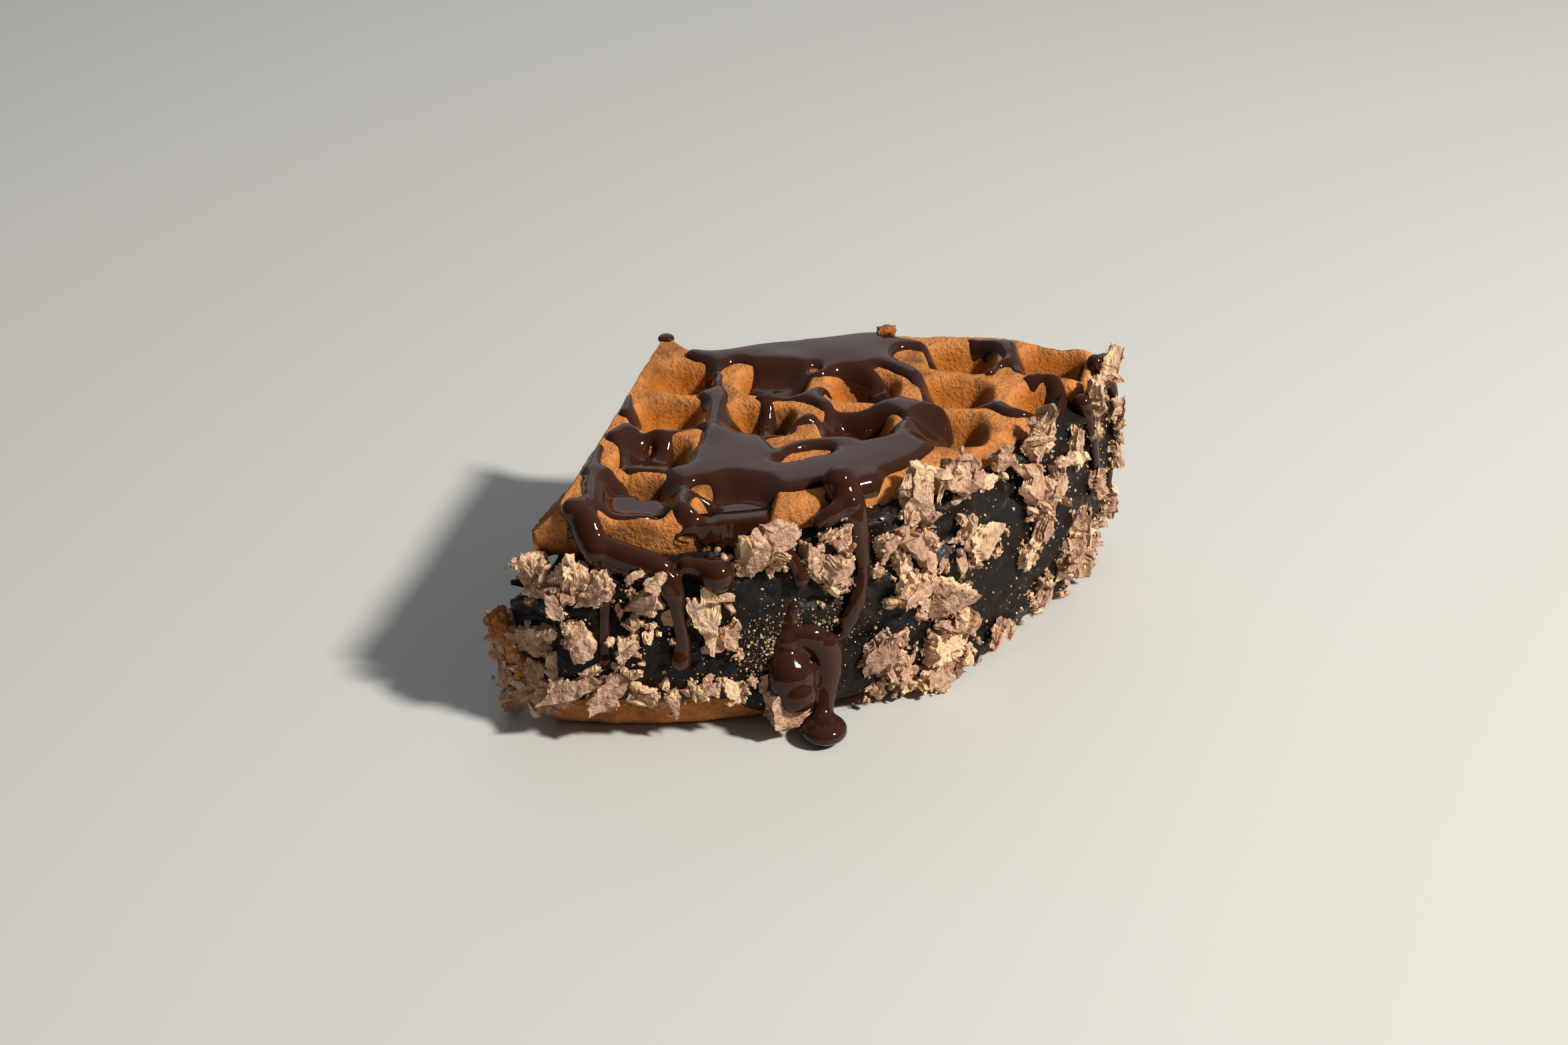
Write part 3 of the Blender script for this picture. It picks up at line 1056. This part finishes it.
def flakes_piece(name, surface, rng, flakes, form):
    """One piece of all the flakes in a list."""
    points, wafer = plates(rng, np.array([size for size, _place, _axes in flakes]), *form)
    places = np.array([place for _size, place, _axes in flakes])
    axes = np.array([turned for _size, _place, turned in flakes])
    points = np.einsum("nij,npj->npi", axes, points) + places[:, None, :]
    points[..., 2] = np.maximum(points[..., 2], GROUND_GAP)
    faces = repeated(plate_faces(*form), len(flakes), points.shape[1])
    values = {"wafer": wafer.ravel()}
    piece = add_piece(name, points.reshape(-1, 3), faces, surface, ("filling",), values, smooth=False)
    return piece


def crumb_on_flake(rng, flake):
    """A place on one of the two faces of a flake."""
    (length, width, thick), place, axes = flake
    side = rng.choice([-1, 1]) * rng.uniform(0.3, 0.5) * thick
    return place + axes @ [rng.uniform(-0.36, 0.36) * width, side, rng.uniform(-0.36, 0.36) * length]


def crumb_on_wall(rng, flake, kind, size):
    """A crumb's place on the coat and its size: beside a flake, where they crowd, or anywhere; or nothing."""
    (length, _width, _thick), place, _axes = flake
    if kind == 5:
        bearing = math.degrees(math.atan2(place[1], place[0])) + rng.normal(0, 0.5 * length) / ARC
        height = place[2] + rng.normal(0, 0.5 * length)
    elif kind == 6:
        bearing = rng.normal(CRUMB_CROWD[0], CRUMB_CROWD[2])
        height = rng.normal(CRUMB_CROWD[1], CRUMB_CROWD[2])
        size *= CROWD_CRUMB
    else:
        bearing = rng.uniform(*CRUMB_BEARINGS)
        height = rng.uniform(1.5, 40)
        size *= LONE_CRUMB
    low = CRUMB_LOW if bearing < CORNER_END else 1.0
    if bearing < CRUMB_BEARINGS[0] or height < low or height > flake_top(bearing):
        return None, size
    stuck = float(coat_streaks(np.array([bearing]), np.array([height]))[0])
    return wall_point(bearing, height, stuck + rng.uniform(0, 0.8) * size), size


def crumbs_piece(surface, flakes, count, seed):
    """Fine crumbs: on the faces of the flakes, in the chocolate beside them, and thickly about one spot."""
    rng = np.random.default_rng(seed)
    cube = np.array([[x, y, z] for x in (-1, 1) for y in (-1, 1) for z in (-1, 1)], dtype=float)
    box = np.array([[0, 1, 3, 2], [4, 6, 7, 5], [0, 4, 5, 1], [2, 3, 7, 6], [0, 2, 6, 4], [1, 5, 7, 3]])
    points, faces, wafer = [], [], []
    for index in range(count):
        size = CRUMB_SIZES[0] + CRUMB_SIZES[1] * rng.random() ** 4
        kind = index % 8
        flake = flakes[int(rng.integers(len(flakes)))]
        if kind < 5:
            place = crumb_on_flake(rng, flake)
        else:
            place, size = crumb_on_wall(rng, flake, kind, size)
        if place is None:
            continue
        place[2] = max(place[2], 0.5)
        spin = np.array(Matrix.Rotation(rng.uniform(0, 6), 3, Vector(rng.normal(size=3))))
        faces.append(box + 8 * len(points))
        points.append((cube * rng.uniform(0.4, 1.2, (8, 3)) * size) @ spin.T + place)
        wafer.append(np.full(8, rng.choice([0.15, 0.8, 1.0])))
    points, faces, wafer = (np.concatenate(parts) for parts in (points, faces, wafer))
    piece = add_piece("crumbs", points, faces, surface, (), {"wafer": wafer}, smooth=False)
    return piece


def waffle_crumbs(surface):
    """Broken bits of waffle: one on the back edge of the top, and one on the tip of the bent corner."""
    places = np.array([place for place, _size, _lean in BROKEN_BITS])
    sizes = np.array([size for _place, size, _lean in BROKEN_BITS])
    turns = [np.array(Matrix.Rotation(lean, 3, "Y")) for _place, _size, lean in BROKEN_BITS]
    points, _wafer = plates(np.random.default_rng(5), sizes, *BIT_FORM)
    points = np.einsum("nij,npj->npi", turns, points) + places[:, None, :]
    faces = repeated(plate_faces(*BIT_FORM), len(places), points.shape[1])
    points = points.reshape(-1, 3)
    values = {"pocket": np.full(len(points), 0.4), "cut": np.full(len(points), 0.5)}
    piece = add_piece("waffle_crumbs", points, faces, surface, (), values)
    return piece


def new_group(name, inputs, outputs):
    """A shader node group with number inputs and the given outputs."""
    group = bpy.data.node_groups.new(name, "ShaderNodeTree")
    for label, value in inputs:
        socket = group.interface.new_socket(label, in_out="INPUT", socket_type="NodeSocketFloat")
        socket.default_value = value
    for label, kind in outputs:
        group.interface.new_socket(label, in_out="OUTPUT", socket_type=kind)
    return group


def node(tree, kind, settings=(), **inputs):
    """A shader node with its settings and the values of its inputs."""
    made = tree.nodes.new(kind)
    for key, value in dict(settings).items():
        setattr(made, key, value)
    for key, value in inputs.items():
        made.inputs[key.replace("_", " ")].default_value = value
    return made


def crust_grain_group():
    """Fine baked or broken texture: a value for speckles and a normal for relief."""
    name = "Crumb Texture"
    if name in bpy.data.node_groups:
        return bpy.data.node_groups[name]
    group = new_group(name, [("Scale", 1500.0), ("Height", 0.0003), ("Strength", 0.6)],
                      [("Value", "NodeSocketFloat"), ("Normal", "NodeSocketVector")])
    link = group.links.new
    entry = group.nodes.new("NodeGroupInput")
    leave = group.nodes.new("NodeGroupOutput")
    where = group.nodes.new("ShaderNodeTexCoord")
    noise = node(group, "ShaderNodeTexNoise", Detail=4.0, Roughness=0.62)
    link(where.outputs["Object"], noise.inputs["Vector"])
    link(entry.outputs["Scale"], noise.inputs["Scale"])
    bump = node(group, "ShaderNodeBump")
    link(noise.outputs["Fac"], bump.inputs["Height"])
    link(entry.outputs["Height"], bump.inputs["Distance"])
    link(entry.outputs["Strength"], bump.inputs["Strength"])
    link(noise.outputs["Fac"], leave.inputs["Value"])
    link(bump.outputs["Normal"], leave.inputs["Normal"])
    return group


def new_material(name, colour, roughness):
    """A material, its node tree and its main shader."""
    surface = bpy.data.materials.new(name)
    surface.use_nodes = True
    shader = surface.node_tree.nodes["Principled BSDF"]
    shader.inputs["Base Color"].default_value = colour
    shader.inputs["Roughness"].default_value = roughness
    return surface, surface.node_tree, shader


def attribute(tree, name):
    """A value that the mesh holds at its points."""
    return node(tree, "ShaderNodeAttribute", {"attribute_name": name}).outputs["Fac"]


def cloud(tree, scale, detail, roughness):
    """Noise over the whole part."""
    where = tree.nodes.new("ShaderNodeTexCoord")
    noise = node(tree, "ShaderNodeTexNoise", Scale=scale, Detail=detail, Roughness=roughness)
    tree.links.new(where.outputs["Object"], noise.inputs["Vector"])
    return noise.outputs["Fac"]


def add_grain(tree, shader, scale, height, strength):
    """Roughens a shader's surface with the shared texture."""
    texture = tree.nodes.new("ShaderNodeGroup")
    texture.node_tree = crust_grain_group()
    texture.inputs["Scale"].default_value = scale
    texture.inputs["Height"].default_value = height
    texture.inputs["Strength"].default_value = strength
    tree.links.new(texture.outputs["Normal"], shader.inputs["Normal"])
    return texture


def mix_colour(tree, share, first, second):
    """A mix of two colours or links, by a number or a link."""
    mix = node(tree, "ShaderNodeMix", {"data_type": "RGBA"})
    for socket, value in ((mix.inputs[0], share), (mix.inputs[6], first), (mix.inputs[7], second)):
        if hasattr(value, "is_linked"):
            tree.links.new(value, socket)
        else:
            socket.default_value = value
    return mix.outputs[2]


def spread(tree, value, low, high):
    """Stretches a value so that low becomes 0 and high becomes 1."""
    span = node(tree, "ShaderNodeMapRange", From_Min=low, From_Max=high)
    tree.links.new(value, span.inputs["Value"])
    return span.outputs["Result"]


def waffle_material(settings):
    """Baked batter, shared by both waffles."""
    if "waffle_crust" in bpy.data.materials:
        return bpy.data.materials["waffle_crust"]
    ribs, pockets = tuple(settings.ribs), tuple(settings.pockets)
    surface, tree, shader = new_material("waffle_crust", ribs, 0.72)
    texture = add_grain(tree, shader, 1300.0, 0.001, 0.9)
    base = mix_colour(tree, spread(tree, attribute(tree, "pocket"), 0.05, 0.5), ribs, pockets)
    base = mix_colour(tree, spread(tree, cloud(tree, 130.0, 3.0, 0.5), 0.5, 0.72), base, CRUST_DARK)
    base = mix_colour(tree, attribute(tree, "cut"), base, CRUMB_COLOUR)
    speck = mix_colour(tree, spread(tree, texture.outputs["Value"], 0.52, 0.8), base, CRUST_DARK)
    tree.links.new(speck, shader.inputs["Base Color"])
    shader.inputs["Specular IOR Level"].default_value = 0.22
    shader.inputs["Subsurface Weight"].default_value = 0.12
    shader.inputs["Subsurface Radius"].default_value = (1.0, 0.35, 0.1)
    shader.inputs["Subsurface Scale"].default_value = 0.002
    return surface


def sauce_material(colour):
    """Glossy chocolate sauce."""
    surface, tree, shader = new_material("chocolate_sauce", colour, 0.055)
    add_grain(tree, shader, 90.0, 0.0003, 0.12)
    shader.inputs["IOR"].default_value = 1.4
    return surface


def filling_material():
    """Dark chocolate cream, with patches of soft sheen."""
    surface, tree, shader = new_material("chocolate_cream", FILLING_COLOUR, 0.42)
    texture = add_grain(tree, shader, 700.0, 0.0006, 0.6)
    gloss = node(tree, "ShaderNodeMapRange", From_Min=0.35, From_Max=0.7, To_Min=0.34, To_Max=0.66)
    tree.links.new(texture.outputs["Value"], gloss.inputs["Value"])
    tree.links.new(gloss.outputs["Result"], shader.inputs["Roughness"])
    shader.inputs["Specular IOR Level"].default_value = 0.22
    return surface


def flake_material():
    """Crushed wafer under milk chocolate, dusted with its own crumbs."""
    surface, tree, shader = new_material("wafer_flakes", FLAKE_CHOCOLATE, 0.78)
    texture = add_grain(tree, shader, 1100.0, 0.001, 0.9)
    base = mix_colour(tree, attribute(tree, "wafer"), FLAKE_CHOCOLATE, FLAKE_WAFER)
    base = mix_colour(tree, spread(tree, cloud(tree, 330.0, 5.0, 0.7), 0.42, 0.72), base, FLAKE_DUST)
    shade = mix_colour(tree, spread(tree, texture.outputs["Value"], 0.56, 0.86), base, FLAKE_SHADE)
    tree.links.new(shade, shader.inputs["Base Color"])
    shader.inputs["Specular IOR Level"].default_value = 0.25
    return surface


def count_setting(name, description, default):
    """A whole number that a user may change."""
    return bpy.props.IntProperty(name=name, description=description, default=default, min=1)


def length_setting(name, description, default):
    """A length that a user may change."""
    return bpy.props.FloatProperty(name=name, description=description, default=default, unit="LENGTH",
                                   precision=5)


def power_setting(name, description, default):
    """A light's power that a user may change."""
    return bpy.props.FloatProperty(name=name, description=description, default=default, unit="POWER")


def colour_setting(name, description, default):
    """A colour that a user may change."""
    return bpy.props.FloatVectorProperty(name=name, description=description, default=default,
                                         subtype="COLOR", size=4, min=0, max=1)


class WaffleSettings(bpy.types.PropertyGroup):
    """Resolution and colours of the waffles."""
    columns: count_setting("Columns", "Points across the fan of the top", 340)
    rows: count_setting("Rows", "Points from the tip to the rim", 195)
    ribs: colour_setting("Ribs", "Colour of the baked ribs", RIB_COLOUR)
    pockets: colour_setting("Pockets", "Colour inside the pockets", POCKET_COLOUR)


class SauceSettings(bpy.types.PropertyGroup):
    """Thickness, resolution and colour of the sauce."""
    spacing: length_setting("Spacing", "Distance between the sheet's points", 0.4 * MM)
    thick: length_setting("Thickness", "Thickness of the sheet", 1.4 * MM)
    voxel: length_setting("Voxel", "Size of the skin's cells", 0.46 * MM)
    colour: colour_setting("Colour", "Colour of the sauce", SAUCE_COLOUR)


class FlakeSettings(bpy.types.PropertyGroup):
    """How many flakes and crumbs lie on the round side."""
    flakes: count_setting("Small Flakes", "Flakes besides the large ones", 340)
    crumbs: count_setting("Crumbs", "Fine crumbs", 8000)
    seed: count_setting("Seed", "Start of the random places", 7)


class StageSettings(bpy.types.PropertyGroup):
    """Light on the stage."""
    key_power: power_setting("Key Light", "Power of the main light", 23.5)
    back_power: power_setting("Back Light", "Power of the soft light behind", 1.7)
    fill: bpy.props.FloatProperty(name="Fill", description="Strength of the light from all round",
                                  subtype="FACTOR", default=0.15)


class WAFFLE_OT_bottom(bpy.types.Operator):
    """Make the bottom waffle with its bent corner."""
    bl_idname = "waffle.bottom"
    bl_label = "Bottom Waffle"

    def execute(self, context):
        surface = waffle_material(context.scene.waffle_settings)
        lines = (CORNER_LINE, edge_line(BACK_EDGE))
        slab("waffle_bottom_crust", 0.0, BOTTOM_THICK, lines, plain_relief, BOTTOM_COUNTS, bend_corner,
             surface)
        return {"FINISHED"}


class WAFFLE_OT_top(bpy.types.Operator):
    """Make the top waffle with its pockets, and the broken bits of waffle."""
    bl_idname = "waffle.top"
    bl_label = "Top Waffle"

    def execute(self, context):
        settings = context.scene.waffle_settings
        surface = waffle_material(settings)
        lines = (([0, 84], [LEFT_CUT, LEFT_CUT]), edge_line(TOP_BACK_EDGE))
        counts = (settings.columns, settings.rows, TOP_WALL_ROWS)
        slab("waffle_top_crust", HEIGHT - TOP_THICK, HEIGHT, lines, top_relief, counts, flare_left_cut,
             surface)
        waffle_crumbs(surface)
        return {"FINISHED"}


class WAFFLE_OT_filling(bpy.types.Operator):
    """Make the chocolate filling, its smeared coat and its lump over the bent corner."""
    bl_idname = "waffle.filling"
    bl_label = "Filling"

    def execute(self, context):
        surface = filling_material()
        filling_core(surface)
        filling_coat(surface)
        filling_corner(surface)
        return {"FINISHED"}


class WAFFLE_OT_sauce(bpy.types.Operator):
    """Make the chocolate sauce and its drips."""
    bl_idname = "waffle.sauce"
    bl_label = "Sauce"

    def execute(self, context):
        settings = context.scene.waffle_sauce
        sizes = (settings.spacing / MM, settings.thick / MM, settings.voxel / MM)
        sauce_piece(sauce_material(settings.colour), *sizes)
        return {"FINISHED"}


class WAFFLE_OT_flakes(bpy.types.Operator):
    """Make the wafer flakes and crumbs on the round side."""
    bl_idname = "waffle.flakes"
    bl_label = "Flakes and Crumbs"

    def execute(self, context):
        settings = context.scene.waffle_flakes
        surface = flake_material()
        rng = np.random.default_rng(settings.seed)
        large, chips = large_flakes(rng)
        small = chips + scattered_flakes(rng, settings.flakes)
        flakes_piece("large_flakes", surface, rng, large, LARGE_FORM)
        flakes_piece("small_flakes", surface, rng, small, SMALL_FORM)
        crumbs_piece(surface, large + small, settings.crumbs, settings.seed + 4)
        return {"FINISHED"}


class WAFFLE_OT_stage(bpy.types.Operator):
    """Make the floor, the lights and the camera."""
    bl_idname = "waffle.stage"
    bl_label = "Stage"

    def execute(self, context):
        settings = context.scene.waffle_stage
        build_stage(context.scene, settings.key_power, settings.back_power, settings.fill)
        return {"FINISHED"}


def aim(thing, place, target):
    """Sets a light or camera at a place, turned to a target."""
    thing.location = place
    thing.rotation_euler = (Vector(target) - Vector(place)).to_track_quat("-Z", "Y").to_euler()


def add_light(scene, name, place, size, power, colour):
    """A round area light aimed at the wedge."""
    data = bpy.data.lights.new(name, "AREA")
    data.shape = "DISK"
    data.size = size
    data.energy = power
    data.color = colour
    light = bpy.data.objects.new(name, data)
    scene.collection.objects.link(light)
    aim(light, place, LIGHT_TARGET)


def build_stage(scene, key_power, back_power, fill):
    """A plain pale floor under soft studio light, seen as the photo sees the wedge."""
    mesh = bpy.data.meshes.new("floor")
    corners = [(FLOOR_HALF * x, FLOOR_HALF * y, 0) for x, y in ((-1, -1), (1, -1), (1, 1), (-1, 1))]
    mesh.from_pydata(corners, [], [(0, 1, 2, 3)])
    floor = bpy.data.objects.new("floor", mesh)
    surface, _tree, _shader = new_material("pale_floor", FLOOR_COLOUR, 0.6)
    mesh.materials.append(surface)
    scene.collection.objects.link(floor)

    world = bpy.data.worlds.new("studio")
    world.use_nodes = True
    tree = world.node_tree
    tree.nodes["Background"].inputs["Color"].default_value = (*COOL_LIGHT, 1)
    where = tree.nodes.new("ShaderNodeTexCoord")
    behind = node(tree, "ShaderNodeVectorMath", {"operation": "DOT_PRODUCT"})
    behind.inputs[1].default_value = FILL_FROM
    tree.links.new(where.outputs["Generated"], behind.inputs[0])
    strength = node(tree, "ShaderNodeMapRange", From_Min=-0.4, From_Max=0.9,
                    To_Min=0.2 * fill, To_Max=2 * fill)
    tree.links.new(behind.outputs["Value"], strength.inputs["Value"])
    tree.links.new(strength.outputs["Result"], tree.nodes["Background"].inputs["Strength"])
    scene.world = world

    add_light(scene, "key", KEY_PLACE, KEY_SIZE, key_power, WARM_LIGHT)
    add_light(scene, "back", BACK_PLACE, BACK_SIZE, back_power, COOL_LIGHT)
    scene.view_settings.view_transform = "Standard"

    target = (TIP + CAMERA_TARGET) * MM
    data = bpy.data.cameras.new("photo_view")
    data.lens = CAMERA_LENS
    data.sensor_width = CAMERA_SENSOR
    data.clip_start = 0.01
    camera = bpy.data.objects.new("photo_view", data)
    scene.collection.objects.link(camera)
    aim(camera, target + CAMERA_AWAY, target)
    scene.camera = camera


class WAFFLE_PT_panel(bpy.types.Panel):
    """Buttons and settings in the 3D view's sidebar."""
    bl_label = "Waffle Wedge"
    bl_space_type = "VIEW_3D"
    bl_region_type = "UI"
    bl_category = "Waffle"

    def draw(self, context):
        scene = context.scene
        layout = self.layout
        for settings, names, operators in (
            (scene.waffle_settings, ("columns", "rows", "ribs", "pockets"),
             ("waffle.bottom", "waffle.top", "waffle.filling")),
            (scene.waffle_sauce, ("spacing", "thick", "voxel", "colour"), ("waffle.sauce",)),
            (scene.waffle_flakes, ("flakes", "crumbs", "seed"), ("waffle.flakes",)),
            (scene.waffle_stage, ("key_power", "back_power", "fill"), ("waffle.stage",)),
        ):
            box = layout.box()
            for name in names:
                box.prop(settings, name)
            for operator in operators:
                box.operator(operator)


CLASSES = (WaffleSettings, SauceSettings, FlakeSettings, StageSettings, WAFFLE_OT_bottom, WAFFLE_OT_top,
           WAFFLE_OT_filling, WAFFLE_OT_sauce, WAFFLE_OT_flakes, WAFFLE_OT_stage, WAFFLE_PT_panel)


SETTINGS = {"waffle_settings": WaffleSettings, "waffle_sauce": SauceSettings, "waffle_flakes": FlakeSettings,
            "waffle_stage": StageSettings}


def register():
    """Adds the classes and the scene's settings."""
    for item in CLASSES:
        bpy.utils.register_class(item)
    for name, group in SETTINGS.items():
        setattr(bpy.types.Scene, name, bpy.props.PointerProperty(type=group))


def unregister():
    """Takes the settings and the classes away again."""
    for name in SETTINGS:
        delattr(bpy.types.Scene, name)
    for item in reversed(CLASSES):
        bpy.utils.unregister_class(item)


def main():
    """Builds the whole scene."""
    register()
    bpy.ops.waffle.bottom()
    bpy.ops.waffle.top()
    bpy.ops.waffle.filling()
    bpy.ops.waffle.sauce()
    bpy.ops.waffle.flakes()
    bpy.ops.waffle.stage()


if __name__ == "__main__":
    main()
